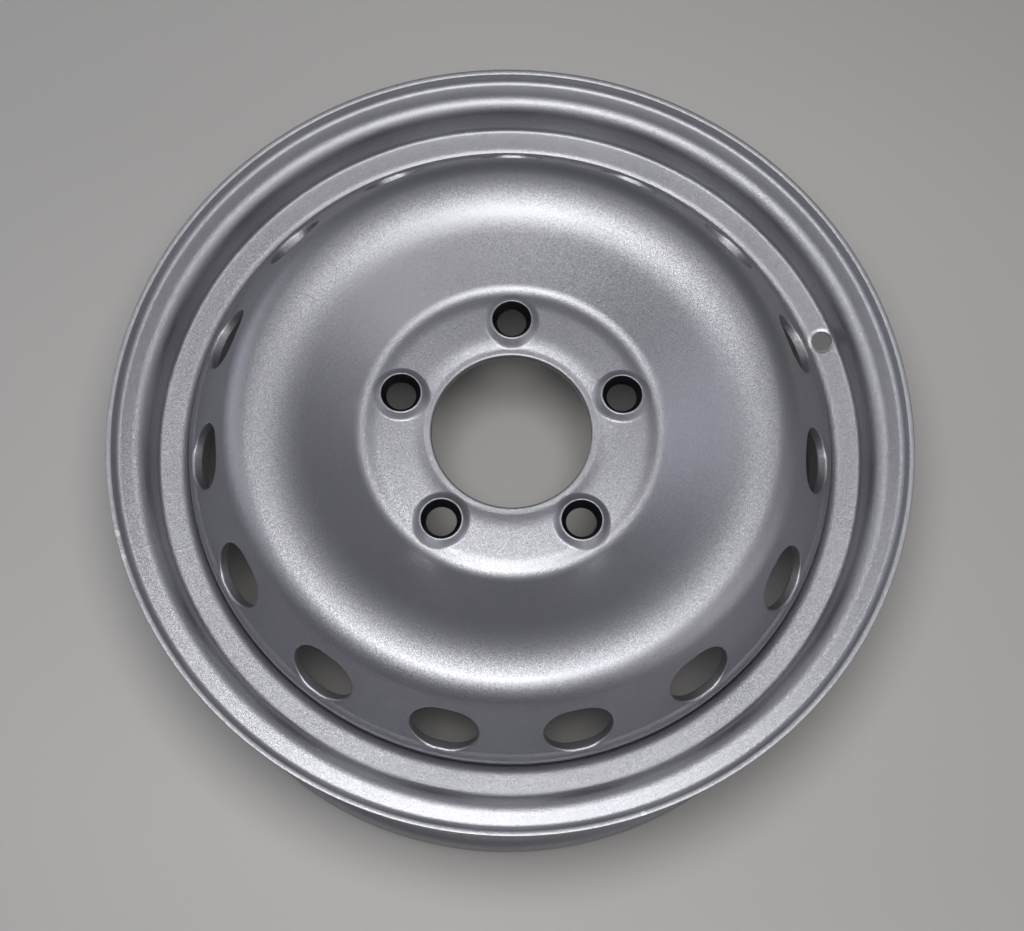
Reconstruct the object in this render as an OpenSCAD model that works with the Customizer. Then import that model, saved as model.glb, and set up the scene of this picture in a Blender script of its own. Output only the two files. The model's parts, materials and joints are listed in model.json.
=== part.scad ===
// Pressed steel wheel: a rolled rim, a domed disc pressed into its well, and the welds that hold them.
// The axis of the wheel is Z. The hub seats against z = 0 and the street side looks to +Z.

/* [Rim] */
// Diameter of the bead seats, measured at the flanges
rim_d = 405.6; // [355:0.1:420]
// Width between the two flanges, on the tyre side
rim_w = 152.4; // [127:0.1:178]
// Thickness of the rim sheet
rim_t = 2.8; // [2.2:0.1:3.6]
// Distance from the middle of the rim to the hub seat
wheel_offset = 66; // [50:0.5:72]
// Height of the flanges above the bead seats
flange_h = 17.3; // [15.5:0.1:18.5]
// Radius of the flange's curl, on the tyre side
flange_curl_r = 9.4; // [8:0.1:10.5]
// Straight end of the flange beyond its curl
flange_lip = 2; // [1:0.1:4]
// Radius between a flange and its bead seat, on the tyre side
bead_corner_r = 6.5; // [5:0.1:8]
// Slope of the bead seats
bead_slope = 5; // [3:0.5:7]
// Width of a bead seat, from its flange to the safety hump
bead_seat_w = 18; // [16:0.5:20]
// Height of the safety humps
hump_h = 1; // [0.5:0.1:1.6]
// Length of a safety hump along the axis
hump_w = 11; // [9:0.5:14]
// Depth of the well below the bead seats
well_depth = 18.9; // [16:0.1:22]
// Length of the well's floor along the axis
well_w = 46; // [40:1:52]
// Slope of the well's steep side, which holds the valve hole
well_side_slope = 10; // [4:1:20]

/* [Valve hole] */
// Diameter of the valve hole
valve_hole_d = 11.3; // [9:0.1:13]
// Diameter of the coined ring around the valve hole
valve_ring_d = 14.5; // [14:0.1:16]
// Angle of the valve hole around the axis
valve_angle = 19; // [0:1:359]

/* [Disc] */
// Thickness of the disc sheet
disc_t = 5.2; // [4.2:0.1:5.6]
// Diameter of the centre bore
bore_d = 89.1; // [80:0.1:92]
// Width of the flat land around the bore
bore_land_w = 4.5; // [4:0.1:6]
// Rounding of the bore's edge on the street side
bore_edge_r = 1.2; // [0.5:0.1:2]
// Rise of the bolt zone above the land
bolt_zone_rise = 1.2; // [0.8:0.1:2]
// Drop of the crease, where the dome starts, below the land
crease_drop = 1.2; // [0.8:0.1:1.4]
// Distance from the bolt circle to the crease
crease_gap = 20.1; // [19:0.1:22]
// Height of the dome's crest above the hub seat
crest_h = 36.3; // [32:0.1:40]
// Radius of the dome's inner curve
dome_inner_r = 50; // [40:1:56]
// Radius of the dome's outer shoulder
dome_outer_r = 17.5; // [14:0.5:22]
// Slope of the side wall that carries the vents
wall_slope = 58; // [54:1:64]
// Depth of the side wall's foot below the hub seat
foot_drop = 5.4; // [3:0.1:8]
// Width of the narrow ledge between the side wall and the skirt
ledge_w = 3.4; // [3.3:0.1:6]
// Slope of that ledge
ledge_slope = 25; // [18:1:32]
// Length of the skirt along the axis, below the ledge
skirt_l = 34; // [26:1:42]
// Gap left between the skirt and the well
press_gap = 0.05; // [0.02:0.01:0.2]

/* [Bolt seats] */
// Number of wheel bolts
bolt_count = 5; // [4:1:6]
// Diameter of the bolt circle
bolt_circle_d = 130; // [126:0.5:134]
// Diameter of the bolt holes
bolt_hole_d = 16.8; // [14:0.1:18]
// Width of the conical seat at its mouth
seat_d = 22.4; // [20:0.1:24]
// Full angle of the conical seat
seat_angle = 60; // [50:1:90]
// Diameter of a seat's collar at its foot
collar_d = 31; // [28:0.1:34]
// Height of the collars above the bolt zone
collar_h = 3.6; // [2:0.1:5]
// Width of the collar's rim around the seat
collar_rim_w = 0.8; // [0.4:0.1:1.5]
// Diameter of the relief behind a bolt hole
relief_d = 22; // [19:0.1:24]
// Depth of the relief behind a bolt hole
relief_h = 1.6; // [0.5:0.1:2]

/* [Vents] */
// Number of vents
vent_count = 15; // [10:1:16]
// Width of the oval vents, around the axis
vent_w = 37; // [33:0.5:42]
// Length of the vents down the side wall
vent_l = 30.6; // [24:0.1:32]
// Height of the vents' centres above the hub seat
vent_h = 7.5; // [6:0.5:10]

/* [Welds] */
// Number of weld runs
weld_count = 8; // [4:1:10]
// Angle that each weld run covers
weld_sweep = 22; // [10:1:30]
// Leg of the weld fillets
weld_leg = 4.4; // [3:0.1:5]
// Gap left between a weld and the two sheets
weld_gap = 0.03; // [0.01:0.01:0.1]

/* [Hidden] */

// Degrees of turn for each straight piece of a rounded bend
bend_step = 6;
// Sides of the round shapes on screen
round_sides = 180;
hole_sides = 64;
// Rounding of the sheets' cut edges
edge_r = 0.9;
// Points closer than this are one point
same_point = 0.01;
// Overlap that lets a cutter reach past the sheet it cuts
reach = 20;

silver = [0.68, 0.68, 0.70];
weld_grey = [0.56, 0.56, 0.58];

// Middle line of the rim sheet, from the street side to the brake side
bead_r = rim_d / 2;
sheet_r = bead_r - rim_t / 2;
curl_r = flange_curl_r - rim_t / 2;
seat_bend_r = bead_corner_r + rim_t / 2;
lip_r = bead_r + flange_h - rim_t / 2;
street_z = rim_w / 2 - wheel_offset + rim_t / 2;
brake_z = -rim_w / 2 - wheel_offset - rim_t / 2;
lip_reach = curl_r + flange_lip;
hump_foot_r = sheet_r - bead_seat_w * tan(bead_slope);
hump_top_r = hump_foot_r + hump_h;
well_r = bead_r - well_depth - rim_t / 2;
well_top_z = street_z - bead_seat_w - hump_w / 2 - (hump_top_r - well_r) * tan(well_side_slope);
well_end_z = well_top_z - well_w;
hump_bend_r = 4;
well_bend_r = 6;
ramp_bend_r = 22;
rim_line = [
    [lip_r, street_z + lip_reach, 0],
    [lip_r, street_z, curl_r],
    [sheet_r, street_z, seat_bend_r],
    [hump_foot_r, street_z - bead_seat_w, hump_bend_r],
    [hump_top_r, street_z - bead_seat_w - hump_w / 2, hump_bend_r],
    [well_r, well_top_z, well_bend_r],
    [well_r, well_end_z, ramp_bend_r],
    [hump_foot_r, brake_z + bead_seat_w + hump_w, hump_bend_r],
    [hump_top_r, brake_z + bead_seat_w + hump_w / 2, hump_bend_r],
    [hump_foot_r, brake_z + bead_seat_w, hump_bend_r],
    [sheet_r, brake_z, seat_bend_r],
    [lip_r, brake_z, curl_r],
    [lip_r, brake_z - lip_reach, 0]
];
well_inner_r = well_r - rim_t / 2;

// Middle of the well's steep side, where the valve hole goes through
valve_r = (hump_top_r + well_r) / 2;
valve_z = well_top_z + (valve_r - well_r) * tan(well_side_slope);

// Middle line of the disc sheet, from the bore to the skirt
half_t = disc_t / 2;
bolt_circle_r = bolt_circle_d / 2;
land_r = bore_d / 2 + bore_land_w;
bolt_zone_z = half_t + bolt_zone_rise;
// Run and bends of the step up to the bolt zone, for each millimetre of its rise
step_run = 4.3;
land_bend = 6.6;
zone_bend = 26;
zone_start_r = land_r + bolt_zone_rise * step_run;
land_bend_r = bolt_zone_rise * land_bend;
zone_bend_r = bolt_zone_rise * zone_bend;
// Slope of the bolt zone's fall to the crease, and its bend for each millimetre of the fall
fall_slope = 15;
fall_bend = 8.3;
zone_fall = bolt_zone_rise + crease_drop;
fall_bend_r = zone_fall * fall_bend;
crease_r = bolt_circle_r + crease_gap;
crease_z = half_t - crease_drop;
zone_end_r = crease_r - zone_fall / tan(fall_slope);
// The skirt fits the well, and the wall rises from the skirt's ledge to the crest
skirt_r = well_inner_r - press_gap - half_t;
wall_foot_r = skirt_r - ledge_w;
wall_foot_z = -foot_drop;
crest_z = crest_h - half_t;
crest_out_r = wall_foot_r - (crest_z - wall_foot_z) / tan(wall_slope);
outer_bend_r = dome_outer_r - half_t;
crest_circle_r = crest_out_r - outer_bend_r * tan(wall_slope / 2);
// The dome's inner curve is limited by the room between the crease and the crest
dome_rise = crest_z - crease_z;
gentlest = 10;
steepest = 52;
dome_room = crest_circle_r - crease_r - dome_rise / tan(steepest);
inner_bend_r = min(dome_inner_r - half_t, dome_room / tan(steepest / 2));
// The dome's inner slope leaves the crease so that its curve ends on the crest
function slope_miss(a) =
    let (run = crest_circle_r - inner_bend_r * tan(a / 2) - crease_r)
    run * tan(a) - dome_rise;
function find_slope(low, high, n) =
    n == 0 ? (low + high) / 2
    : slope_miss((low + high) / 2) > 0 ? find_slope(low, (low + high) / 2, n - 1)
    : find_slope((low + high) / 2, high, n - 1);
halvings = 30;
dome_slope = find_slope(gentlest, steepest, halvings);
crest_in_r = crest_circle_r - inner_bend_r * tan(dome_slope / 2);
skirt_top_z = wall_foot_z - ledge_w * tan(ledge_slope);
skirt_end_z = skirt_top_z - skirt_l;
// The crease's bend is limited by what the zone's bend leaves of the fall
fall_room = zone_fall / sin(fall_slope) - fall_bend_r * tan(fall_slope / 2);
crease_bend_r = min(half_t + 10, fall_room / tan((dome_slope + fall_slope) / 2));
skirt_bend_r = half_t + 0.4;
// The bend at the wall's foot is limited by what the skirt's bend leaves of the ledge
ledge_room = ledge_w / cos(ledge_slope) - skirt_bend_r * tan((90 - ledge_slope) / 2);
foot_bend_r = min(half_t + 2.9, ledge_room / tan((wall_slope - ledge_slope) / 2));
disc_line = [
    [bore_d / 2, half_t, 0],
    [land_r, half_t, land_bend_r],
    [zone_start_r, bolt_zone_z, zone_bend_r],
    [zone_end_r, bolt_zone_z, fall_bend_r],
    [crease_r, crease_z, crease_bend_r],
    [crest_in_r, crest_z, inner_bend_r],
    [crest_out_r, crest_z, outer_bend_r],
    [wall_foot_r, wall_foot_z, foot_bend_r],
    [skirt_r, skirt_top_z, skirt_bend_r],
    [skirt_r, skirt_end_z, 0]
];

// Height of the bolt zone's two faces, and of the collars and holes in it
zone_back_z = bolt_zone_z - half_t;
zone_front_z = bolt_zone_z + half_t;
collar_top_z = zone_front_z + collar_h;
seat_depth = (seat_d - bolt_hole_d) / 2 / tan(seat_angle / 2);

// Reach of a weld's rounded face into its corner, as a part of its leg
weld_fullness = 0.62;

// Middle of the side wall at the vents' height
vent_r = crest_out_r + (crest_z - vent_h) / tan(wall_slope);
// Distance from a vent's middle to the centres of its round ends
vent_side = (vent_w - vent_l) / 2;

function unit(v) = v / norm(v);
function left_of(v) = [-v.y, v.x];
function turned(v, a) = [v.x * cos(a) - v.y * sin(a), v.x * sin(a) + v.y * cos(a)];
function flat(p) = [p.x, p.y];

// Points of the bend at corner b, of radius r, between the lines to a and to c
function bend(a, b, c, r) =
    let (
        u = unit(a - b),
        v = unit(c - b),
        half = acos(u * v) / 2,
        side = cross(b - a, c - b) > 0 ? 1 : -1,
        start = b + u * r / tan(half),
        centre = b + unit(u + v) * r / sin(half),
        sweep = 180 - 2 * half,
        steps = max(2, ceil(sweep / bend_step))
    )
    [for (i = [0 : steps]) centre + turned(start - centre, side * sweep * i / steps)];

// A line of corners [r, z, bend radius] made into points, with each corner bent
function bent_line(corners) =
    let (last = len(corners) - 1)
    apart(concat(
        [flat(corners[0])],
        [for (i = [1 : last - 1])
            each bend(flat(corners[i - 1]), flat(corners[i]), flat(corners[i + 1]), corners[i].z)],
        [flat(corners[last])]
    ));

// A line without the points that fall on the one before, as where two bends meet
function apart(line) = [
    for (i = [0 : len(line) - 1])
        if (i == 0 || norm(line[i] - line[i - 1]) > same_point) line[i]
];

// Point i of a line, moved sideways by d
function beside(line, i, d) =
    let (
        n1 = left_of(unit(line[i] - line[i - 1])),
        n2 = left_of(unit(line[i + 1] - line[i]))
    )
    line[i] + (n1 + n2) * d / (1 + n1 * n2);

// One side of a sheet's cut edge at p, heading along d, rounded on the side of n
function edge_round(p, d, n, t, r) =
    r == 0 ? [p + n * t / 2]
    : [for (a = [0 : 30 : 90]) p + n * (t / 2 - r * (1 - cos(a))) - d * r * (1 - sin(a))];
function backwards(line) = [for (i = [len(line) - 1 : -1 : 0]) line[i]];
// The whole cut edge, rounded by r1 on its left side and by r2 on its right
function cut_edge(p, d, t, r1, r2) = concat(
    edge_round(p, d, left_of(d), t, r1),
    backwards(edge_round(p, d, -left_of(d), t, r2))
);

// Section of a sheet of thickness t along a line of corners. first_r and second_r round its starting edge.
function sheet_section(corners, t, first_r, second_r) =
    let (line = bent_line(corners), last = len(line) - 1)
    concat(
        cut_edge(line[0], unit(line[0] - line[1]), t, first_r, second_r),
        [for (i = [1 : last - 1]) beside(line, i, t / 2)],
        cut_edge(line[last], unit(line[last] - line[last - 1]), t, edge_r, edge_r),
        [for (i = [last - 1 : -1 : 1]) beside(line, i, -t / 2)]
    );

module sheet_ring(corners, t, first_r = edge_r, second_r = edge_r) {
    rotate_extrude($fn = round_sides)
        polygon(sheet_section(corners, t, first_r, second_r));
}

module around(count, r) {
    for (i = [0 : count - 1])
        rotate([0, 0, 90 + i * 360 / count])
            translate([r, 0, 0])
                children();
}

module valve_hole() {
    ring_depth = (valve_ring_d - valve_hole_d) / 2;
    mouth_d = valve_ring_d + ring_depth * 2;
    rotate([0, 0, valve_angle])
        translate([valve_r, 0, valve_z])
            rotate([0, -well_side_slope, 0]) {
                translate([0, 0, -reach])
                    cylinder(d = valve_hole_d, h = 2 * reach, $fn = hole_sides);
                translate([0, 0, rim_t / 2 - ring_depth / 2])
                    cylinder(d1 = valve_hole_d, d2 = mouth_d, h = ring_depth, $fn = hole_sides);
            }
}

module rim() {
    color(silver)
        difference() {
            sheet_ring(rim_line, rim_t);
            valve_hole();
        }
}

module bolt_collar() {
    rotate_extrude($fn = hole_sides)
        polygon([
            [0, bolt_zone_z],
            [collar_d / 2, bolt_zone_z],
            [collar_d / 2, zone_front_z - collar_rim_w],
            [seat_d / 2 + collar_rim_w, collar_top_z],
            [0, collar_top_z]
        ]);
}

module bolt_hole() {
    rotate_extrude($fn = hole_sides)
        polygon([
            [0, zone_back_z - reach],
            [relief_d / 2, zone_back_z - reach],
            [relief_d / 2, zone_back_z],
            [bolt_hole_d / 2, zone_back_z + relief_h],
            [bolt_hole_d / 2, collar_top_z - seat_depth],
            [seat_d / 2, collar_top_z],
            [seat_d / 2, collar_top_z + reach],
            [0, collar_top_z + reach]
        ]);
}

module vent() {
    translate([0, 0, vent_h])
        rotate([0, wall_slope, 0])
            translate([0, 0, -reach]) {
                for (side = [-1, 1])
                    translate([0, side * vent_side, 0])
                        cylinder(d = vent_l, h = 2 * reach, $fn = hole_sides);
                translate([-vent_l / 2, -vent_side, 0])
                    cube([vent_l, 2 * vent_side, 2 * reach]);
            }
}

module disc() {
    color(silver)
        difference() {
            union() {
                sheet_ring(disc_line, disc_t, first_r = 0, second_r = bore_edge_r);
                around(bolt_count, bolt_circle_r)
                    bolt_collar();
            }
            around(bolt_count, bolt_circle_r)
                bolt_hole();
            around(vent_count, vent_r)
                vent();
        }
}

module weld_run() {
    face_r = well_inner_r - weld_gap;
    top_z = skirt_end_z - weld_gap;
    bulge = weld_leg * weld_fullness;
    rotate_extrude(angle = weld_sweep, $fn = round_sides)
        polygon([
            [face_r, top_z],
            [face_r - weld_leg, top_z],
            [face_r - bulge, top_z - bulge],
            [face_r, top_z - weld_leg]
        ]);
}

module weld_beads() {
    color(weld_grey)
        for (i = [0 : weld_count - 1])
            rotate([0, 0, 90 - weld_sweep / 2 + i * 360 / weld_count])
                weld_run();
}

rim();
disc();
weld_beads();
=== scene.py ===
import json
import math

import bmesh
import bpy
import numpy as np
from mathutils import Matrix, Vector


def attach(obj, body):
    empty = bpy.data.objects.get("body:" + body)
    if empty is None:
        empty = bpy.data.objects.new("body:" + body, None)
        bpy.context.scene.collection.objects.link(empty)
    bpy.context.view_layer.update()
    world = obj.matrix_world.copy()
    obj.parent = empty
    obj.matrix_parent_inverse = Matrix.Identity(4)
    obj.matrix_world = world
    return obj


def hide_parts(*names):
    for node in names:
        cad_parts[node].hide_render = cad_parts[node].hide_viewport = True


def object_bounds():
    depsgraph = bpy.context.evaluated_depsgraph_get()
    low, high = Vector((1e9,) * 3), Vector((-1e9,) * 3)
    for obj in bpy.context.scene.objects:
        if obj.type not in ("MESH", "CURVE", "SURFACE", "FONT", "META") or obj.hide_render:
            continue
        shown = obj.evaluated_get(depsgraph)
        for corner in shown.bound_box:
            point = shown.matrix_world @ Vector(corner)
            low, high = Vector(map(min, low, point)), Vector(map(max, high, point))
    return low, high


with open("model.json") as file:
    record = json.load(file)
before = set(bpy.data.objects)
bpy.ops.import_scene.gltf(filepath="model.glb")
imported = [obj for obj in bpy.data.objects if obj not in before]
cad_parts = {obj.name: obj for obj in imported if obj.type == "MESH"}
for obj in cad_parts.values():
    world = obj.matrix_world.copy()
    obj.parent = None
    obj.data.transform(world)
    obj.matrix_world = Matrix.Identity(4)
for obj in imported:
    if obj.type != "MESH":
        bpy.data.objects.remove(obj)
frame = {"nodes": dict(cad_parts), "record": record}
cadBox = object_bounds()
mounts = {mount["name"]: mount for mount in frame["record"]["mounts"]}
mm = 0.001  # lengths below are millimetres, Blender's are metres
print("frame loaded:", sorted(frame["nodes"]))


# Sheet sections: a middle line of corners (r, z, bend radius), with the normal on its left

fineStep = 0.2  # spacing of the points on a section
tiny = 1e-6
quarterTurn = np.radians((0, 22, 45, 68, 90))  # turns along the edge of a cut sheet
edgeTurn = np.radians((0, 18, 36, 54, 72, 90))  # turns along the edge of a hole


def unit(v):
    return v / np.linalg.norm(v)


def turned(v, angle):
    c, s = math.cos(angle), math.sin(angle)
    return np.array((v[0] * c - v[1] * s, v[0] * s + v[1] * c))


def sheetLine(corners):
    spots = [np.array(corner[:2], float) for corner in corners]
    points, normals = [spots[0]], []
    for i in range(1, len(spots)):
        here, there = points[-1], spots[i]
        ahead = unit(there - here)
        left = np.array((-ahead[1], ahead[0]))
        if not normals:
            normals.append(left)
        stop, turn, bendR = there, 0.0, 0.0
        if i < len(spots) - 1:
            after = unit(spots[i + 1] - there)
            turn = math.atan2(ahead[0] * after[1] - ahead[1] * after[0], ahead @ after)
            bendR = corners[i][2]
            stop = there - ahead * bendR * math.tan(abs(turn) / 2)
        count = int(np.linalg.norm(stop - here) / fineStep)
        for k in range(1, count + 1):
            points.append(here + (stop - here) * k / count)
            normals.append(left)
        if turn:
            centre = stop + left * math.copysign(bendR, turn)
            count = max(4, int(abs(turn) * bendR / fineStep))
            for k in range(1, count + 1):
                points.append(centre + turned(stop - centre, turn * k / count))
                normals.append(turned(left, turn * k / count))
    points, normals = np.array(points), np.array(normals)
    steps = np.linalg.norm(np.diff(points, axis=0), axis=1)
    return {
        "s": np.concatenate(([0.0], np.cumsum(steps))),
        "r": points[:, 0], "z": points[:, 1],
        "nr": normals[:, 0], "nz": normals[:, 1],
    }


def onSheet(line, s, offset):  # section point at length s, moved off the middle line
    values = [np.interp(s, line["s"], line[key]) for key in ("r", "z", "nr", "nz")]
    return values[0] + values[2] * offset, values[1] + values[3] * offset


def lengthAt(line, r, z):  # length along the line of the point nearest to (r, z)
    return float(line["s"][np.argmin((line["r"] - r) ** 2 + (line["z"] - z) ** 2)])


def rowsAlong(line, start, stop, maxStep, maxTurn):  # closer rows where the sheet bends
    heading = np.unwrap(np.arctan2(line["nz"], line["nr"]))
    rows = [start]
    lastHeading = np.interp(start, line["s"], heading)
    for s, angle in zip(line["s"], heading):
        if start < s < stop - fineStep:
            if s - rows[-1] >= maxStep or abs(angle - lastHeading) >= math.radians(maxTurn):
                rows.append(float(s))
                lastHeading = angle
    return np.array(rows + [stop])


def spun(r, z, angles):  # points at radius r and height z, turned about the axis
    return np.stack((r * np.cos(angles), r * np.sin(angles), z + 0 * angles), axis=-1)


def ringGrid(line, rows, offset, angles):
    r, z = onSheet(line, rows, offset)
    return spun(r[:, None], z[:, None], np.asarray(angles)[None, :])


def profileGrid(profile, angles):
    profile = np.asarray(profile, float)
    return spun(profile[:, :1], profile[:, 1:], np.asarray(angles)[None, :])


def roundedEnd(line, end, sheet, firstR, secondR):  # section of a cut sheet edge, left to right
    i = 0 if end == "start" else -1
    p = np.array((line["r"][i], line["z"][i]))
    n = np.array((line["nr"][i], line["nz"][i]))
    out = np.array((n[1], -n[0])) * (-1 if end == "start" else 1)

    def corner(side, radius):  # from the face on that side to the cut end
        return [p + n * side * (sheet / 2 - radius * (1 - math.cos(a))) - out * radius * (1 - math.sin(a))
                for a in quarterTurn]

    return corner(1, firstR) + corner(-1, secondR)[::-1]


# Holes: a patch between a rectangle of the sheet and the edge of the hole in it

holeFit = {"tries": 8, "along": 0.05, "around": 0.0005}  # the small steps are in mm and radians
holeWallRows = 4


def borderOf(us, vs):  # points round a rectangle of parameters, once
    loop = [(u, vs[0]) for u in us[:-1]] + [(us[-1], v) for v in vs[:-1]]
    loop += [(u, vs[-1]) for u in us[:0:-1]] + [(us[0], v) for v in vs[:0:-1]]
    return np.array(loop)


def ovalPoints(directions, radius, side):  # oval of two half circles, met from its middle
    c, s = np.cos(directions), np.sin(directions)
    flatReach = radius / np.maximum(np.abs(s), tiny)
    roundReach = side * np.abs(c) + np.sqrt(radius ** 2 - (side * s) ** 2)
    reach = np.where(flatReach * np.abs(c) <= side, flatReach, roundReach)
    return np.stack((reach * c, reach * s), axis=-1)


def holeView(line, hole, params, offset):  # (across, along) of sheet points, seen down the hole
    r, z = onSheet(line, params[:, 0], offset)
    across = r * np.sin(params[:, 1])
    away = r * np.cos(params[:, 1]) - hole["r"]
    return np.stack((across, away * hole["along"][0] + (z - hole["z"]) * hole["along"][1]), axis=-1)


def holeParams(line, hole, targets, offset):  # where on the sheet those views are met
    params = np.stack((hole["s"] + targets[:, 1], targets[:, 0] / hole["r"]), axis=-1)
    along, around = holeFit["along"], holeFit["around"]
    for _ in range(holeFit["tries"]):
        here = holeView(line, hole, params, offset)
        ds = (holeView(line, hole, params + (along, 0), offset) - here) / along
        da = (holeView(line, hole, params + (0, around), offset) - here) / around
        miss = targets - here
        det = ds[:, 0] * da[:, 1] - ds[:, 1] * da[:, 0]
        params = params + np.stack((
            (miss[:, 0] * da[:, 1] - miss[:, 1] * da[:, 0]) / det,
            (ds[:, 0] * miss[:, 1] - ds[:, 1] * miss[:, 0]) / det,
        ), axis=-1)
    return params


def sheetPoints(line, params, offset, middle):
    r, z = onSheet(line, params[:, 0], offset)
    return spun(r, z, params[:, 1] + middle)


def holedSheet(line, hole, border, sheet):  # street face, hole wall and back face of one hole
    axis = np.array((
        hole["normal"][0] * math.cos(hole["angle"]),
        hole["normal"][0] * math.sin(hole["angle"]), hole["normal"][1],
    ))
    grids, rims = [], []
    for offset, rings, edge in ((hole["face"] * sheet / 2, hole["faceRings"], hole["faceEdge"]),
                                (-hole["face"] * sheet / 2, hole["backRings"], hole["backEdge"])):
        look = holeView(line, hole, border, offset)
        directions = np.arctan2(look[:, 1], look[:, 0])
        edgeLoop = []
        for out, deep in edge:  # from the face down into the hole
            targets = ovalPoints(directions, hole["radius"] + out, hole["side"])
            params = holeParams(line, hole, targets, offset)
            if not edgeLoop:
                mix = np.linspace(0, 1, rings + 1) ** hole["crowd"]
                grids.append(np.array([
                    sheetPoints(line, border * (1 - t) + params * t, offset, hole["angle"]) for t in mix
                ]))
            side = 1 if offset * hole["face"] > 0 else -1
            edgeLoop.append(sheetPoints(line, params, offset, hole["angle"]) - axis * deep * side)
        rims.append(edgeLoop)
    wall = [rims[0][-1] * (1 - t) + rims[1][-1] * t for t in np.linspace(0, 1, holeWallRows)]
    grids.append(np.array(rims[0] + wall[1:-1] + rims[1][::-1]))
    return [(grid, True) for grid in grids]


def fillet(radius):  # (out, deep) steps of a rounded hole edge
    return [(radius * (1 - math.sin(a)), radius * (1 - math.cos(a))) for a in edgeTurn]


# Meshes

joinGap = 0.004 * mm  # points nearer than this become one


def meshFromGrids(name, grids):  # grids of points, the second value says whether a grid's rows close
    verts, faces = [], []
    for points, closed in grids:
        rowCount, colCount = points.shape[:2]
        base = len(verts)
        verts.extend((points.reshape(-1, 3) * mm).tolist())
        for i in range(rowCount - 1):
            for j in range(colCount if closed else colCount - 1):
                k = (j + 1) % colCount
                low, high = base + i * colCount, base + (i + 1) * colCount
                faces.append((low + j, low + k, high + k, high + j))
    mesh = bpy.data.meshes.new(name)
    mesh.from_pydata(verts, [], faces)
    return mesh


def closeMesh(mesh):  # joins the grids and points every face outwards
    work = bmesh.new()
    work.from_mesh(mesh)
    bmesh.ops.remove_doubles(work, verts=work.verts, dist=joinGap)
    bmesh.ops.dissolve_degenerate(work, edges=work.edges, dist=joinGap / 4)
    bmesh.ops.recalc_face_normals(work, faces=work.faces)
    openEdges = sum(1 for edge in work.edges if not edge.is_manifold)
    work.to_mesh(mesh)
    work.free()
    mesh.polygons.foreach_set("use_smooth", [True] * len(mesh.polygons))
    mesh.update()
    print(f"  {mesh.name}: {len(mesh.polygons)} faces, {openEdges} open edges")


def makePiece(name, mesh, material, node):
    piece = bpy.data.objects.new(name, mesh)
    bpy.context.scene.collection.objects.link(piece)
    mesh.materials.clear()
    mesh.materials.append(material)
    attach(piece, "root")
    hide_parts(node)


def addNode(tree, kind, settings=None, links=None):
    node = tree.nodes.new(kind)
    for key, value in (settings or {}).items():
        if isinstance(key, int) or key in node.inputs:
            node.inputs[key].default_value = value
        else:
            setattr(node, key, value)
    for key, source in (links or {}).items():
        tree.links.new(source, node.inputs[key])
    return node


def aroundAxisTree(name):  # repeats one sector about the axle and joins the copies
    tree = bpy.data.node_groups.new(name, "GeometryNodeTree")
    tree.interface.new_socket("Sector", in_out="INPUT", socket_type="NodeSocketGeometry")
    tree.interface.new_socket("Copies", in_out="INPUT", socket_type="NodeSocketInt")
    tree.interface.new_socket("Join Distance", in_out="INPUT", socket_type="NodeSocketFloat")
    tree.interface.new_socket("Finish", in_out="INPUT", socket_type="NodeSocketMaterial")
    tree.interface.new_socket("Piece", in_out="OUTPUT", socket_type="NodeSocketGeometry")
    given = addNode(tree, "NodeGroupInput").outputs
    spots = addNode(tree, "GeometryNodePoints", links={"Count": given["Copies"]})
    index = addNode(tree, "GeometryNodeInputIndex")
    step = addNode(tree, "ShaderNodeMath", {"operation": "DIVIDE", 0: math.tau}, {1: given["Copies"]})
    angle = addNode(tree, "ShaderNodeMath", {"operation": "MULTIPLY"}, {
        0: index.outputs[0], 1: step.outputs[0]})
    euler = addNode(tree, "ShaderNodeCombineXYZ", links={"Z": angle.outputs[0]})
    turn = addNode(tree, "FunctionNodeEulerToRotation", links={0: euler.outputs[0]})
    copies = addNode(tree, "GeometryNodeInstanceOnPoints", links={
        "Points": spots.outputs[0], "Instance": given["Sector"], "Rotation": turn.outputs[0]})
    real = addNode(tree, "GeometryNodeRealizeInstances", links={0: copies.outputs[0]})
    joined = addNode(tree, "GeometryNodeMergeByDistance", links={
        "Geometry": real.outputs[0], "Distance": given["Join Distance"]})
    painted = addNode(tree, "GeometryNodeSetMaterial", links={
        "Geometry": joined.outputs[0], "Material": given["Finish"]})
    addNode(tree, "NodeGroupOutput", links={0: painted.outputs[0]})
    return tree


def repeatAround(name, sector, copies, material, tree):
    holder = bpy.data.objects.new(name + "Sector", sector)
    bpy.context.scene.collection.objects.link(holder)
    modifier = holder.modifiers.new("aroundAxis", "NODES")
    modifier.node_group = tree
    values = {"Copies": copies, "Join Distance": joinGap, "Finish": material}
    for socket in tree.interface.items_tree:
        if socket.in_out == "INPUT" and socket.name in values:
            modifier[socket.identifier] = values[socket.name]
    graph = bpy.context.evaluated_depsgraph_get()
    mesh = bpy.data.meshes.new_from_object(holder.evaluated_get(graph))
    mesh.name = name
    holder.modifiers.remove(modifier)
    bpy.data.objects.remove(holder)
    bpy.data.meshes.remove(sector)
    closeMesh(mesh)
    return mesh


# Finishes

def linear(hexColour):
    parts = [int(hexColour[i:i + 2], 16) / 255 for i in (1, 3, 5)]
    return [p / 12.92 if p <= 0.04045 else ((p + 0.055) / 1.055) ** 2.4 for p in parts] + [1.0]


def perMetre(size):  # texture scale for a pattern of that size in millimetres
    return 1 / (size * mm)


def emptyFinish(name):
    material = bpy.data.materials.new(name)
    material.use_nodes = True
    material.node_tree.nodes.clear()
    return material, material.node_tree


def noise(tree, place, size, detail):
    return addNode(tree, "ShaderNodeTexNoise", {
        "Scale": perMetre(size), "Detail": detail}, {"Vector": place}).outputs["Fac"]


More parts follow.
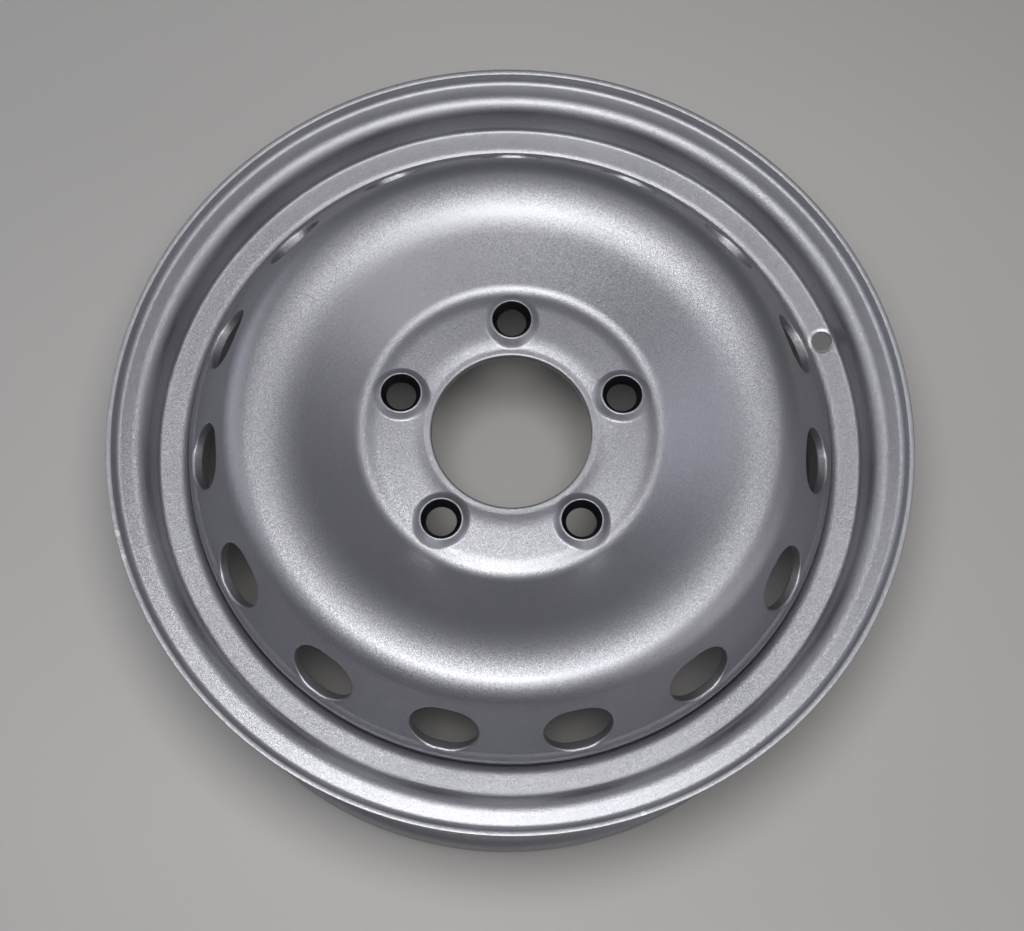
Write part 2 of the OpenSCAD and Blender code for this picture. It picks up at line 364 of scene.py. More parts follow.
def mixColours(tree, share, first, second):  # each colour is a hex value or a socket
    node = addNode(tree, "ShaderNodeMix", {"data_type": "RGBA"}, {0: share})
    for socket, colour in ((node.inputs[6], first), (node.inputs[7], second)):
        if isinstance(colour, str):
            socket.default_value = linear(colour)
        else:
            tree.links.new(colour, socket)
    return node.outputs[2]


silverEnamel = {
    "silver": "#b4b4b9", "shadeSilver": "#a3a3a9", "flakeLight": "#d6d6da",
    # the near-black seat colour is painted shade in the bolt seat cones and holes
    "bareSteel": "#d8d9dc", "seatSteel": "#35363a",
    "flake": 0.2, "flakeTilt": 0.26, "peel": 2.6, "clouds": 55.0,  # the flakes lie tilted in the enamel
    "sparkFrom": 0.3, "sparkMost": 0.55, "peelBump": 0.25, "peelDepth": 0.06,
    "roughLow": 0.46, "roughHigh": 0.53, "coat": 0.12, "coatRough": 0.22,
    "chips": [(-162.8, 219.0, 2.1), (-159.2, 219.0, 1.8), (-72.4, 218.7, 1.5)],  # angle, radius, size
    "lipZ": 21.6, "ragged": 1.3, "spotFull": 1.3, "spotEnd": 1.65,  # the last two in radii of a spot
    "seam": -160.3, "seamW": 0.9, "seamCore": 0.2, "seamStart": 184.0, "seamFade": 2.0,
    "seamWander": 2.4, "seamBare": 0.12, "seamBump": 0.3, "seamDepth": 0.12,  # butt weld of the band
    "coinR": 7.6,
}


def spotMask(tree, place, wobble, centre, radius):  # 1 inside a ragged spot of that radius
    e = silverEnamel
    away = addNode(tree, "ShaderNodeVectorMath", {
        "operation": "DISTANCE", 1: [v * mm for v in centre]}, {0: place})
    ragged = addNode(tree, "ShaderNodeMath", {
        "operation": "MULTIPLY_ADD", 1: radius * mm}, {0: wobble, 2: away.outputs["Value"]})
    return addNode(tree, "ShaderNodeMapRange", {
        "From Min": e["spotEnd"] * radius * mm, "From Max": e["spotFull"] * radius * mm},
        {"Value": ragged.outputs[0]}).outputs[0]


def seamMask(tree, place, wobble):  # 1 on the weld line across the rolled band
    e = silverEnamel
    angle = math.radians(e["seam"])
    side = addNode(tree, "ShaderNodeVectorMath", {
        "operation": "DOT_PRODUCT", 1: (-math.sin(angle), math.cos(angle), 0)}, {0: place})
    out = addNode(tree, "ShaderNodeVectorMath", {
        "operation": "DOT_PRODUCT", 1: (math.cos(angle), math.sin(angle), 0)}, {0: place})
    bent = addNode(tree, "ShaderNodeMath", {
        "operation": "MULTIPLY_ADD", 1: e["seamWander"] * mm, 2: -e["seamWander"] / 2 * mm}, {0: wobble})
    moved = addNode(tree, "ShaderNodeMath", {"operation": "ADD"}, {
        0: side.outputs["Value"], 1: bent.outputs[0]})
    away = addNode(tree, "ShaderNodeMath", {"operation": "ABSOLUTE"}, {0: moved.outputs[0]})
    line = addNode(tree, "ShaderNodeMapRange", {
        "From Min": e["seamW"] * mm, "From Max": e["seamCore"] * e["seamW"] * mm},
        {"Value": away.outputs[0]})
    reach = addNode(tree, "ShaderNodeMapRange", {
        "From Min": e["seamStart"] * mm, "From Max": (e["seamStart"] + e["seamFade"]) * mm},
        {"Value": out.outputs["Value"]})
    return addNode(tree, "ShaderNodeMath", {"operation": "MULTIPLY"}, {
        0: line.outputs[0], 1: reach.outputs[0]}).outputs[0]


def bareMask(tree, place, ragged, seam):  # 1 where bare metal shows: the seam a little, chips and valve ring
    e = silverEnamel
    valveSpot = [v / mm for v in mounts["valve_hole"]["pos_m"]]
    spots = []
    for angle, radius, size in e["chips"]:
        turn = math.radians(angle)
        spots.append(((radius * math.cos(turn), radius * math.sin(turn), e["lipZ"]), size))
    spots.append((valveSpot, e["coinR"]))
    bare = addNode(tree, "ShaderNodeMath", {"operation": "MULTIPLY", 1: e["seamBare"]}, {0: seam}).outputs[0]
    for centre, size in spots:
        bare = addNode(tree, "ShaderNodeMath", {"operation": "MAXIMUM"}, {
            0: bare, 1: spotMask(tree, place, ragged, centre, size)}).outputs[0]
    return bare


def silverEnamelFinish():  # stove enamel with aluminium flake: bright towards the lamp, dark away from it
    e = silverEnamel
    material, tree = emptyFinish("silverFlakeEnamel")
    place = addNode(tree, "ShaderNodeTexCoord").outputs["Object"]
    clouds = noise(tree, place, e["clouds"], 3.0)
    flake = addNode(tree, "ShaderNodeTexVoronoi", {"Scale": perMetre(e["flake"])}, {"Vector": place})
    peel = noise(tree, place, e["peel"], 1.5)
    ragged = noise(tree, place, e["ragged"], 3.0)
    seam = seamMask(tree, place, ragged)
    ground = mixColours(tree, clouds, e["silver"], e["shadeSilver"])
    glint = addNode(tree, "ShaderNodeSeparateColor", links={0: flake.outputs["Color"]})
    spark = addNode(tree, "ShaderNodeMapRange", {
        "From Min": e["sparkFrom"], "To Max": e["sparkMost"]}, {"Value": glint.outputs[0]})
    flecked = mixColours(tree, spark.outputs[0], ground, e["flakeLight"])
    chipped = mixColours(tree, bareMask(tree, place, ragged, seam), flecked, e["bareSteel"])
    # painted shade: the bolt seat cones and holes turn near-black
    seat = addNode(tree, "ShaderNodeAttribute", {"attribute_name": "bareSeat"})
    colour = mixColours(tree, seat.outputs["Fac"], chipped, e["seatSteel"])
    rough = addNode(tree, "ShaderNodeMapRange", {
        "To Min": e["roughLow"], "To Max": e["roughHigh"]}, {"Value": glint.outputs[1]})
    skin = addNode(tree, "ShaderNodeBump", {
        "Strength": e["peelBump"], "Distance": e["peelDepth"] * mm}, {"Height": peel})
    ridge = addNode(tree, "ShaderNodeBump", {
        "Strength": e["seamBump"], "Distance": e["seamDepth"] * mm},
        {"Height": seam, "Normal": skin.outputs[0]})
    lean = addNode(tree, "ShaderNodeVectorMath", {
        "operation": "SUBTRACT", 1: (0.5, 0.5, 0.5)}, {0: flake.outputs["Color"]})
    tilt = addNode(tree, "ShaderNodeVectorMath", {
        "operation": "MULTIPLY_ADD", 1: [e["flakeTilt"]] * 3}, {0: lean.outputs[0], 2: ridge.outputs[0]})
    facing = addNode(tree, "ShaderNodeVectorMath", {"operation": "NORMALIZE"}, {0: tilt.outputs[0]})
    shader = addNode(tree, "ShaderNodeBsdfPrincipled", {
        "Metallic": 1.0, "Coat Weight": e["coat"], "Coat Roughness": e["coatRough"]},
        {"Base Color": colour, "Roughness": rough.outputs[0], "Normal": facing.outputs[0]})
    addNode(tree, "ShaderNodeOutputMaterial", links={"Surface": shader.outputs[0]})
    return material


paintedWeld = {
    "silver": "#9c9ca0", "soot": "#6d6a68", "crust": 1.6,
    "crustBump": 0.4, "crustDepth": 0.15, "metal": 0.6, "rough": 0.52,
}


def paintedWeldFinish():  # weld metal under thin enamel: uneven, duller, soot in the hollows
    w = paintedWeld
    material, tree = emptyFinish("enamelledWeld")
    place = addNode(tree, "ShaderNodeTexCoord").outputs["Object"]
    crust = noise(tree, place, w["crust"], 4.0)
    colour = mixColours(tree, crust, w["soot"], w["silver"])
    bump = addNode(tree, "ShaderNodeBump", {
        "Strength": w["crustBump"], "Distance": w["crustDepth"] * mm}, {"Height": crust})
    shader = addNode(tree, "ShaderNodeBsdfPrincipled", {
        "Metallic": w["metal"], "Roughness": w["rough"]},
        {"Base Color": colour, "Normal": bump.outputs[0]})
    addNode(tree, "ShaderNodeOutputMaterial", links={"Surface": shader.outputs[0]})
    return material


enamel = silverEnamelFinish()
weldPaint = paintedWeldFinish()
spinTree = aroundAxisTree("aroundAxle")
print("finishes made")


# Rim band

rimBand = {
    "seatD": 405.6, "width": 152.4, "sheet": 2.8, "offset": 66.0,
    "flangeH": 17.3, "curlR": 9.4, "lip": 2.0, "beadCornerR": 6.5, "beadSlope": 5.0, "seatW": 18.0,
    "humpH": 1.0, "humpW": 11.0, "humpBendR": 4.0,
    "wellDepth": 18.9, "wellW": 46.0, "wellSlope": 10.0, "wellBendR": 6.0, "rampBendR": 22.0,
    "grooveR": 3.6, "bevelSlope": 25.0, "bevelR": 0.35, "bevelEnd": 1.3,  # street lip, rolled and trimmed
    "edgeR": 0.9, "columns": 333, "rowStep": 5.0, "rowTurn": 5.0,
    "valveRing": 1.6, "ringEdge": [(0.45, 0.0), (0.2, 0.03), (0.0, 0.11)],  # edges are steps out and down
    "valveEdge": [(0.5, 0.13), (0.22, 0.25), (0.06, 0.6), (0.0, 1.25)], "valveBackEdge": 0.3,
    "valvePatch": 4.0, "patchColumns": 21, "patchRowStep": 1.2,  # the patch's half width is in degrees
    "patchBefore": 10.5, "patchAfter": 10.0,
}


def rimSection(streetCurlR):
    b = rimBand
    half = b["sheet"] / 2
    seatR = b["seatD"] / 2
    sheetR = seatR - half
    lipR = seatR + b["flangeH"] - half
    streetZ = b["width"] / 2 - b["offset"] + half
    brakeZ = -b["width"] / 2 - b["offset"] - half
    curlR = b["curlR"] - half
    reach = curlR + b["lip"]
    cornerR = b["beadCornerR"] + half
    footR = sheetR - b["seatW"] * math.tan(math.radians(b["beadSlope"]))
    humpR = footR + b["humpH"]
    wellR = seatR - b["wellDepth"] - half
    humpZ = streetZ - b["seatW"] - b["humpW"] / 2
    wellTop = humpZ - (humpR - wellR) * math.tan(math.radians(b["wellSlope"]))
    corners = [
        (lipR, streetZ + reach, 0), (lipR, streetZ, streetCurlR), (sheetR, streetZ, cornerR),
        (footR, streetZ - b["seatW"], b["humpBendR"]), (humpR, humpZ, b["humpBendR"]),
        (wellR, wellTop, b["wellBendR"]), (wellR, wellTop - b["wellW"], b["rampBendR"]),
        (footR, brakeZ + b["seatW"] + b["humpW"], b["humpBendR"]),
        (humpR, brakeZ + b["seatW"] + b["humpW"] / 2, b["humpBendR"]),
        (footR, brakeZ + b["seatW"], b["humpBendR"]),
        (sheetR, brakeZ, cornerR), (lipR, brakeZ, curlR), (lipR, brakeZ - reach, 0),
    ]
    return sheetLine(corners), wellR - half


rimLine, wellInnerR = rimSection(rimBand["curlR"] - rimBand["sheet"] / 2)
streetLine = rimSection(rimBand["grooveR"] + rimBand["sheet"] / 2)[0]  # with the street face's tighter curl


def lipBevel():  # section of the street lip's trimmed edge, from the tyre side to the street side
    b = rimBand
    half, r = b["sheet"] / 2, b["bevelR"]
    lipR, topZ = rimLine["r"][0], rimLine["z"][0]
    fall = math.tan(math.radians(b["bevelSlope"]))
    low = (b["sheet"] - 2 * r) * fall
    inset = 0.3 * r  # of the point in the middle of a rounded corner
    steps = [(half, b["edgeR"]), (half, r), (half - inset, inset), (half - r, 0),
             (r - half, low), (inset - half, low + inset), (-half, b["bevelEnd"])]
    return [(lipR + across, topZ - down) for across, down in steps]


def rimMesh():
    b = rimBand
    valveSpot = [v / mm for v in mounts["valve_hole"]["pos_m"]]
    valveR = math.hypot(valveSpot[0], valveSpot[1])
    slope = math.radians(b["wellSlope"])
    holeR = mounts["valve_hole"]["dims"]["r_mm"]
    hole = {
        "r": valveR, "z": valveSpot[2], "s": lengthAt(rimLine, valveR, valveSpot[2]),
        "angle": math.atan2(valveSpot[1], valveSpot[0]),
        "along": (-math.cos(slope), -math.sin(slope)), "normal": (-math.sin(slope), math.cos(slope)),
        "face": -1, "radius": holeR, "side": 0.0, "crowd": 0.8, "faceRings": 8, "backRings": 6,
        "faceEdge": [(b["valveRing"] + out, deep) for out, deep in b["ringEdge"]] + b["valveEdge"],
        "backEdge": fillet(b["valveBackEdge"]),
    }
    patch = math.radians(b["valvePatch"])
    inner = np.linspace(-patch, patch, b["patchColumns"])
    outer = np.linspace(patch, math.tau - patch, b["columns"])
    around = np.concatenate((inner[:-1], outer[:-1])) + hole["angle"]
    low, high = hole["s"] - b["patchBefore"], hole["s"] + b["patchAfter"]
    edge = b["edgeR"]
    total = rimLine["s"][-1]
    shift = streetLine["s"][-1] - rimLine["s"][-1]
    before = rowsAlong(rimLine, edge, low, b["rowStep"], b["rowTurn"])
    streetBefore = rowsAlong(streetLine, b["bevelEnd"], low + shift, b["rowStep"], b["rowTurn"])
    within = rowsAlong(rimLine, low, high, b["patchRowStep"], b["rowTurn"])
    after = rowsAlong(rimLine, high, total - edge, b["rowStep"], b["rowTurn"])
    half = b["sheet"] / 2
    grids = [
        (ringGrid(rimLine, before, half, around), True),
        (ringGrid(streetLine, streetBefore, -half, around), True),
        (profileGrid(lipBevel(), around), True),
        (profileGrid(roundedEnd(rimLine, "stop", b["sheet"], edge, edge), around), True),
    ]
    for offset in (half, -half):
        grids.append((ringGrid(rimLine, within, offset, outer + hole["angle"]), False))
        grids.append((ringGrid(rimLine, after, offset, around), True))
    grids += holedSheet(rimLine, hole, borderOf(within, inner), b["sheet"])
    mesh = meshFromGrids("rimBand", grids)
    closeMesh(mesh)
    return mesh


makePiece("rimBand", rimMesh(), enamel, "rim")
print("rim band made")


# Disc pressing

discPressing = {
    "sheet": 5.2, "boreLand": 4.5, "boreEdgeR": 1.2, "boreBackEdgeR": 0.25,
    "zoneRise": 1.2, "stepRun": 4.3, "landBend": 6.6, "zoneBend": 26.0,  # the last three per mm of the rise
    "creaseGap": 20.1, "creaseDrop": 1.2, "fallSlope": 15.0, "creaseBendR": 12.6,
    "fallBend": 8.3,  # per mm of the fall to the crease
    "crestH": 36.3, "domeInnerR": 50.0, "domeOuterR": 17.5, "slopeRange": (10.0, 60.0), "slopeTries": 40,
    "wallSlope": 58.0, "footDrop": 5.4, "ledgeW": 3.4, "ledgeSlope": 25.0, "skirtL": 34.0, "pressGap": 0.05,
    "footBendR": 5.5, "skirtBendR": 3.0, "edgeR": 0.9,
    "seatD": 22.4, "collarD": 31.0, "collarH": 3.6, "collarRim": 0.8, "reliefD": 22.0, "reliefH": 1.6,
    "seatAngle": 60.0, "footBlend": 1.5, "topBlend": 0.5, "seatMargin": 0.15,
    "ventsPerBolt": 3, "ventW": 37.0, "ventL": 30.6, "ventH": 7.5, "ventEdge": 0.8, "ventBackEdge": 0.5,
    "columnsPerVent": 16, "boltPatch": 18.0, "boltZone": (46.4, 83.4),  # half width in degrees, then radii
    "collarReach": 2.4, "reliefReach": 0.4, "webRings": (0.2, 0.4, 0.6, 0.8), "collarRings": 20,
    "ventReach": 19.0, "hubMargin": 5.0, "seatMouth": 0.25,
    "seatTop": [(0.1, 0.03), (-0.05, 0.14), (-0.25, 0.45)], "seatEnd": [(0.06, 0.02), (0.0, 0.25)],
    "reliefTop": [(0.1, 0.03), (-0.1, 0.12)], "reliefEnd": [(0.06, 0.04), (0.0, 0.25)],  # steps out and deep
    "seatCone": (0.25, 0.5, 0.75, 0.93), "reliefCone": (0.35, 0.65, 0.92),  # shares of the way down
    "rows": {  # longest step and largest turn between the rows of a zone
        "land": (2.0, 5.0), "bolt": (2.4, 4.0), "dome": (4.0, 3.0), "vents": (1.6, 5.0), "skirt": (6.0, 6.0),
    },
}


def domeSlope(rise, creaseR, crestR, bendR):  # slope whose curve ends on the crest
    low, high = [math.radians(slope) for slope in discPressing["slopeRange"]]
    for _ in range(discPressing["slopeTries"]):
        slope = (low + high) / 2
        run = crestR - bendR * math.tan(slope / 2) - creaseR
        if run * math.tan(slope) > rise:
            high = slope
        else:
            low = slope
    return slope


def discSection():
    d = discPressing
    half = d["sheet"] / 2
    boreR = mounts["hub_bore"]["dims"]["r_mm"]
    landR = boreR + d["boreLand"]
    zoneZ = half + d["zoneRise"]
    boltR = mounts["bolt_circle"]["dims"]["pcd_mm"] / 2
    crestZ = d["crestH"] - half
    innerR, outerR = d["domeInnerR"] - half, d["domeOuterR"] - half
    wall = math.radians(d["wallSlope"])
    skirtR = wellInnerR - d["pressGap"] - half
    footR, footZ = skirtR - d["ledgeW"], -d["footDrop"]
    skirtZ = footZ - d["ledgeW"] * math.tan(math.radians(d["ledgeSlope"]))
    crestOut = footR - (crestZ - footZ) / math.tan(wall)
    crestR = crestOut - outerR * math.tan(wall / 2)
    creaseR, creaseZ = boltR + d["creaseGap"], half - d["creaseDrop"]
    zoneFall = d["zoneRise"] + d["creaseDrop"]
    zoneEnd = creaseR - zoneFall / math.tan(math.radians(d["fallSlope"]))
    slope = domeSlope(crestZ - creaseZ, creaseR, crestR, innerR)
    crestIn = crestR - innerR * math.tan(slope / 2)
    corners = [
        (boreR, half, 0), (landR, half, d["zoneRise"] * d["landBend"]),
        (landR + d["zoneRise"] * d["stepRun"], zoneZ, d["zoneRise"] * d["zoneBend"]),
        (zoneEnd, zoneZ, zoneFall * d["fallBend"]), (creaseR, creaseZ, d["creaseBendR"]),
        (crestIn, crestZ, innerR), (crestOut, crestZ, outerR),
        (footR, footZ, d["footBendR"]), (skirtR, skirtZ, d["skirtBendR"]), (skirtR, skirtZ - d["skirtL"], 0),
    ]
    ventR = crestOut + (crestZ - d["ventH"]) / math.tan(wall)
    return sheetLine(corners), ventR, skirtZ - d["skirtL"]


discLine, ventR, skirtEndZ = discSection()


def softMax(a, b, blend):  # the higher of two heights, with a rounded valley between them
    gap = np.maximum(blend - np.abs(a - b), 0) / blend
    return np.maximum(a, b) + gap ** 2 * blend / 4


def conePoints(part, mouth, end, way):  # (radius, height) steps from a cone's mouth to the hole
    d = discPressing
    points = [(mouth[0] + out, mouth[1] + way * deep) for out, deep in d[part + "Top"]]
    points += [(mouth[0] + (end[0] - mouth[0]) * t, mouth[1] + (end[1] - mouth[1]) * t)
               for t in d[part + "Cone"]]
    return points + [(end[0] + out, end[1] + way * deep) for out, deep in d[part + "End"]]


def boltGrids(rows, columns):  # collar, seat, hole and relief of the bolt at the sector's middle
    d = discPressing
    half = d["sheet"] / 2
    boltR = mounts["bolt_circle"]["dims"]["pcd_mm"] / 2
    holeR = mounts["bolt_circle"]["dims"]["hole_r_mm"]
    zoneZ = half + d["zoneRise"]
    topZ = zoneZ + half + d["collarH"]
    backZ = zoneZ - half
    seatR = d["seatD"] / 2
    seatZ = topZ - (seatR - holeR) / math.tan(math.radians(d["seatAngle"] / 2))
    coneRun = d["collarD"] / 2 - seatR - d["collarRim"]
    coneRise = d["collarH"] + d["collarRim"]
    reliefR = d["reliefD"] / 2
    hub = discLine["s"] < rows[-1] + d["hubMargin"]
    border = borderOf(rows, columns)
    grids = []
    for face in (1, -1):
        r, z = onSheet(discLine, discLine["s"], face * half)
        edgeR, edgeZ = onSheet(discLine, border[:, 0], face * half)
        edge = spun(edgeR, edgeZ, border[:, 1])
        directions = np.arctan2(edge[:, 1], edge[:, 0] - boltR)
        circle = np.stack((boltR + 0 * directions, 0 * directions), axis=-1)
        spoke = np.stack((np.cos(directions), np.sin(directions)), axis=-1)

        def lifted(flat):
            rise = np.interp(np.hypot(flat[:, 0], flat[:, 1]), r[hub], z[hub])
            if face > 0:
                away = np.hypot(flat[:, 0] - boltR, flat[:, 1])
                cone = topZ - (away - seatR - d["collarRim"]) * coneRise / coneRun
                cone = -softMax(-cone, -topZ + 0 * cone, d["topBlend"])
                rise = softMax(rise, cone, d["footBlend"])
            return np.concatenate((flat, rise[:, None]), axis=1)

        if face > 0:
            outerR = d["collarD"] / 2 + d["collarReach"]
            radii = np.linspace(outerR, seatR + d["seatMouth"], d["collarRings"])
            inside = conePoints("seat", (seatR, topZ), (holeR, seatZ), -1)
        else:
            outerR = reliefR + d["reliefReach"]
            radii = (outerR,)
            inside = conePoints("relief", (reliefR, backZ), (holeR, backZ + d["reliefH"]), 1)
        rings = [edge]
        for t in d["webRings"]:
            rings.append(lifted(edge[:, :2] * (1 - t) + (circle + spoke * outerR) * t))
        rings += [lifted(circle + spoke * radius) for radius in radii]
        for radius, height in inside:
            rings.append(np.concatenate((circle + spoke * radius, height + 0 * circle[:, :1]), axis=1))
        grids.append((np.array(rings), True))
    last, first = grids[0][0][-1], grids[1][0][-1]
    frontDirections = np.arctan2(last[:, 1], last[:, 0] - boltR)
    first = np.stack((boltR + holeR * np.cos(frontDirections), holeR * np.sin(frontDirections),
                      first[:, 2]), axis=-1)
    grids[1][0][-1] = first
    grids.append((np.array([last, (last + first) / 2, first]), True))
    return grids


def discSector():
    d = discPressing
    half = d["sheet"] / 2
    bolts = mounts["bolt_circle"]["dims"]["count"]
    vents = d["ventsPerBolt"]
    wall = math.radians(d["wallSlope"])
    columns = np.radians(np.linspace(-180 / bolts, 180 / bolts, vents * d["columnsPerVent"] + 1))
    patch = math.radians(d["boltPatch"])
    mid = columns[np.abs(columns) <= patch + tiny]
    left, right = columns[columns <= -patch + tiny], columns[columns >= patch - tiny]
    ventS = lengthAt(discLine, ventR, d["ventH"])
    hole = {
        "r": ventR, "z": d["ventH"], "s": ventS,
        "along": (math.cos(wall), -math.sin(wall)), "normal": (math.sin(wall), math.cos(wall)),
        "face": 1, "radius": d["ventL"] / 2, "side": (d["ventW"] - d["ventL"]) / 2, "crowd": 0.85,
        "faceRings": 11, "backRings": 5,
        "faceEdge": fillet(d["ventEdge"]), "backEdge": fillet(d["ventBackEdge"]),
    }
    boltLow, boltHigh = [lengthAt(discLine, radius, half) for radius in d["boltZone"]]
    ends = (d["boreEdgeR"], boltLow, boltHigh, ventS - d["ventReach"], ventS + d["ventReach"],
            discLine["s"][-1] - d["edgeR"])
    zones = {name: rowsAlong(discLine, start, stop, *d["rows"][name])
             for name, start, stop in zip(d["rows"], ends, ends[1:])}
    backBore = rowsAlong(discLine, d["boreBackEdgeR"], boltLow, *d["rows"]["land"])
    grids = []
    for face in (half, -half):
        grids.append((ringGrid(discLine, zones["land"] if face > 0 else backBore, face, columns), False))
        grids.append((ringGrid(discLine, zones["bolt"], face, left), False))
        grids.append((ringGrid(discLine, zones["bolt"], face, right), False))
        grids.append((ringGrid(discLine, zones["dome"], face, columns), False))
        grids.append((ringGrid(discLine, zones["skirt"], face, columns), False))
    bore = roundedEnd(discLine, "start", d["sheet"], d["boreEdgeR"], d["boreBackEdgeR"])
    skirtEnd = roundedEnd(discLine, "stop", d["sheet"], d["edgeR"], d["edgeR"])
    grids += [(profileGrid(bore, columns), False), (profileGrid(skirtEnd, columns), False)]
    grids += boltGrids(zones["bolt"], mid)
    third = columns[:d["columnsPerVent"] + 1] - columns[d["columnsPerVent"] // 2]
    for k in range(vents):
        hole["angle"] = columns[d["columnsPerVent"] // 2 + k * d["columnsPerVent"]]
        grids += holedSheet(discLine, hole, borderOf(zones["vents"], third), d["sheet"])
    upright = np.array(((0, -1, 0), (1, 0, 0), (0, 0, 1)))  # the first bolt stands at +Y
    return meshFromGrids("discSector", [(points @ upright.T, closed) for points, closed in grids])


def markSeatShade(mesh):  # painted shade: the cones and holes for the bolts are marked for a near-black colour
    pattern = mounts["bolt_circle"]["dims"]
    spots = np.empty(len(mesh.vertices) * 3, np.float32)
    mesh.vertices.foreach_get("co", spots)
    spots = spots.reshape(-1, 3)
    turns = math.pi / 2 + math.tau * np.arange(pattern["count"]) / pattern["count"]
    bolts = np.stack((np.cos(turns), np.sin(turns)), axis=-1) * pattern["pcd_mm"] / 2 * mm
    nearest = np.linalg.norm(spots[:, None, :2] - bolts[None], axis=2).min(axis=1) / mm
    inside = (nearest < discPressing["seatD"] / 2 - discPressing["seatMargin"]).astype(np.float32)
    mesh.attributes.new("bareSeat", "FLOAT", "POINT").data.foreach_set("value", inside)


boltCount = mounts["bolt_circle"]["dims"]["count"]
discMesh = repeatAround("discPressing", discSector(), boltCount, enamel, spinTree)
markSeatShade(discMesh)
makePiece("discPressing", discMesh, enamel, "disc")
print("disc pressing made")


# Weld runs at the back of the skirt

weldRuns = {
    "count": 8, "sweep": 22.0, "leg": 4.4, "gap": 0.03, "throat": 0.88, "taper": 3.5, "leastEnd": 0.0004,
    "ripple": 2.3, "height": 0.14, "lean": 0.35, "stepsPerRipple": 6, "bendPoints": 11,
}


def weldRun():
    w = weldRuns
    faceR, topZ = wellInnerR - w["gap"], skirtEndZ - w["gap"]
    length = math.radians(w["sweep"]) * wellInnerR
    along = np.linspace(0, length, int(length / w["ripple"]) * w["stepsPerRipple"] + 1)
    bend = np.radians(np.linspace(0, 90, w["bendPoints"]))
    startAngle = math.pi / 2 - math.radians(w["sweep"]) / 2
    rows = []
    for x in along:
        fromEnd = min(x, length - x)
        full = math.sqrt(max(1 - (1 - min(fromEnd / w["taper"], 1)) ** 2, w["leastEnd"]))
        crescent = x / w["ripple"] + w["lean"] * np.cos(2 * bend)
        ripple = 1 - w["height"] * (0.5 + 0.5 * np.cos(math.tau * crescent)) * np.sin(2 * bend)
        leg = w["leg"] * full
        out = leg * (w["throat"] + (1 - w["throat"]) * np.cos(4 * bend)) * ripple
        r = np.concatenate((faceR - out * np.cos(bend), [faceR]))
        z = np.concatenate((topZ - out * np.sin(bend), [topZ]))
        rows.append(spun(r, z, np.full(len(r), startAngle + x / wellInnerR)))
    mesh = meshFromGrids("weldRun", [(np.array(rows), True)])
    work = bmesh.new()
    work.from_mesh(mesh)
    bmesh.ops.holes_fill(work, edges=work.edges, sides=0)  # closes the two ends
    work.to_mesh(mesh)
    work.free()
    return mesh


weldMesh = repeatAround("weldRuns", weldRun(), weldRuns["count"], weldPaint, spinTree)
makePiece("weldRuns", weldMesh, weldPaint, "weld_beads")
print("weld runs made")


# Studio

studio = {
    "floor": "#d9d6d2", "floorRough": 0.9, "floorReach": 6.0, "world": "#d9dce2", "worldStrength": 0.16,
    "keyShift": (0, 0.09, 0.05), "keySize": 0.26, "keyPower": 3.9, "keyColour": "#ffffff",  # by the camera
    "fillSpot": (-1.65, 0.6, 0.95), "fillSize": 1.6, "fillPower": 6.3, "fillColour": "#f1f4ff",
    "sideSpot": (1.7, -0.9, 0.95), "sideSize": 1.6, "sidePower": 5.5, "sideColour": "#ffffff",
}
photoCamera = {
    "width": 1024, "focal": 1430.0,  # pixels of the photograph
    "spot": (-13.3931990, -259.392358, 757.439292),
    "yaw": 0.0570526188, "pitch": 1.26305224, "roll": -0.0609827018,
    "sensor": 36.0, "near": 0.01, "far": 50.0,
}


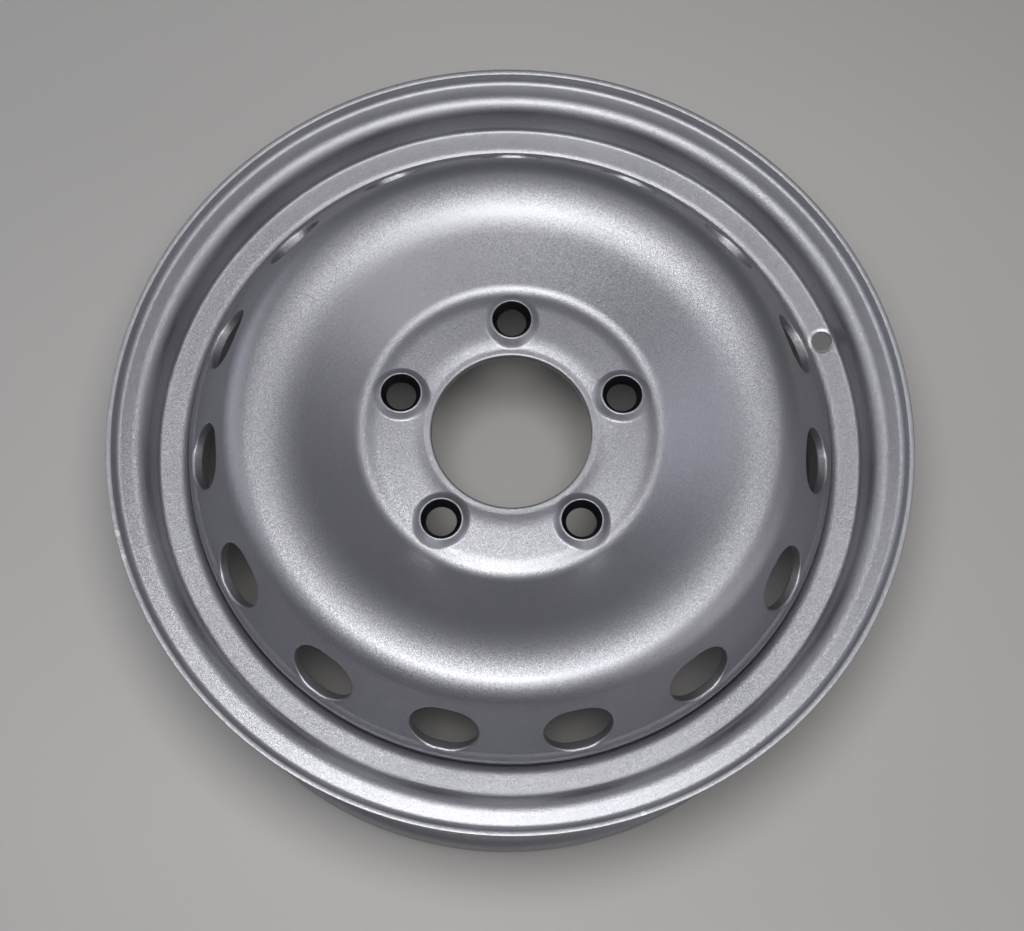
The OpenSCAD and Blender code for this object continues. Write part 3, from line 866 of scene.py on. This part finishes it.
def makeCamera():
    c = photoCamera
    yaw, pitch, roll = c["yaw"], c["pitch"], c["roll"]
    ahead = Vector((math.sin(yaw) * math.cos(pitch), math.cos(yaw) * math.cos(pitch), -math.sin(pitch)))
    right = Vector((math.cos(yaw), -math.sin(yaw), 0))
    down = ahead.cross(right)
    rolledRight = right * math.cos(roll) + down * math.sin(roll)
    rolledDown = down * math.cos(roll) - right * math.sin(roll)
    lens = bpy.data.cameras.new("photoCamera")
    lens.sensor_width = c["sensor"]
    lens.lens = lens.sensor_width * c["focal"] / c["width"]
    lens.clip_start, lens.clip_end = c["near"], c["far"]
    camera = bpy.data.objects.new("photoCamera", lens)
    bpy.context.scene.collection.objects.link(camera)
    turn = Matrix((rolledRight, -rolledDown, -ahead)).transposed().to_4x4()
    camera.matrix_world = Matrix.Translation(Vector(c["spot"]) * mm) @ turn
    bpy.context.scene.camera = camera


def softLamp(name, spot):  # a round lamp that looks at the hub
    lamp = bpy.data.lights.new(name + "Lamp", "AREA")
    lamp.shape, lamp.size, lamp.energy = "DISK", studio[name + "Size"], studio[name + "Power"]
    lamp.color = linear(studio[name + "Colour"])[:3]
    holder = bpy.data.objects.new(name + "Lamp", lamp)
    bpy.context.scene.collection.objects.link(holder)
    holder.location = spot
    holder.rotation_mode = "QUATERNION"
    holder.rotation_quaternion = (-Vector(spot)).to_track_quat("-Z", "Y")


def makeStudio():
    floorZ = cadBox[0].z
    mesh = bpy.data.meshes.new("studioFloor")
    side = studio["floorReach"]
    corners = [(-side, -side, floorZ), (side, -side, floorZ), (side, side, floorZ), (-side, side, floorZ)]
    mesh.from_pydata(corners, [], [(0, 1, 2, 3)])
    floor = bpy.data.objects.new("studioFloor", mesh)
    bpy.context.scene.collection.objects.link(floor)
    paper = bpy.data.materials.new("matPaper")
    paper.use_nodes = True
    paint = paper.node_tree.nodes["Principled BSDF"].inputs
    paint["Base Color"].default_value = linear(studio["floor"])
    paint["Roughness"].default_value = studio["floorRough"]
    mesh.materials.append(paper)
    world = bpy.data.worlds.new("studioWorld")
    world.use_nodes = True
    sky = world.node_tree.nodes["Background"]
    sky.inputs["Color"].default_value = linear(studio["world"])
    sky.inputs["Strength"].default_value = studio["worldStrength"]
    bpy.context.scene.world = world
    softLamp("key", Vector(photoCamera["spot"]) * mm + Vector(studio["keyShift"]))
    softLamp("fill", studio["fillSpot"])
    softLamp("side", studio["sideSpot"])


makeCamera()
makeStudio()
bpy.context.scene.view_settings.view_transform = "Standard"
print("studio made")
